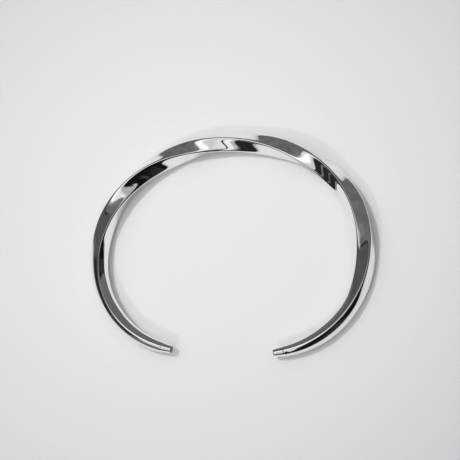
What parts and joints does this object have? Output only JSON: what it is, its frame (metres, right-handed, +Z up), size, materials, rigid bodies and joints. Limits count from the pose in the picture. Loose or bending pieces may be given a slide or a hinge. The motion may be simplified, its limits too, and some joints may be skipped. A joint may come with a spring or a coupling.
{
  "type": "twisted open cuff bangle",
  "caption": "Open C-shaped cuff bangle bent from one twisted square bar, with ends worked round, tapered and finished in short nibs.",
  "frame": {"origin": "middle of the cuff's outline, on the surface that it rests on when it lies flat", "axes": "+Z up out of the surface, square to the plane that the bar is bent in; the mouth between the two ends faces -Y; +X along the cuff's longest extent"},
  "size_m": [0.0662, 0.053, 0.0046],
  "materials": {
    "silver": "mirror-polished sterling silver with faint wear marks"
  },
  "bodies": {
    "root": {"twisted_cuff": "silver"}
  },
  "joints": []
}
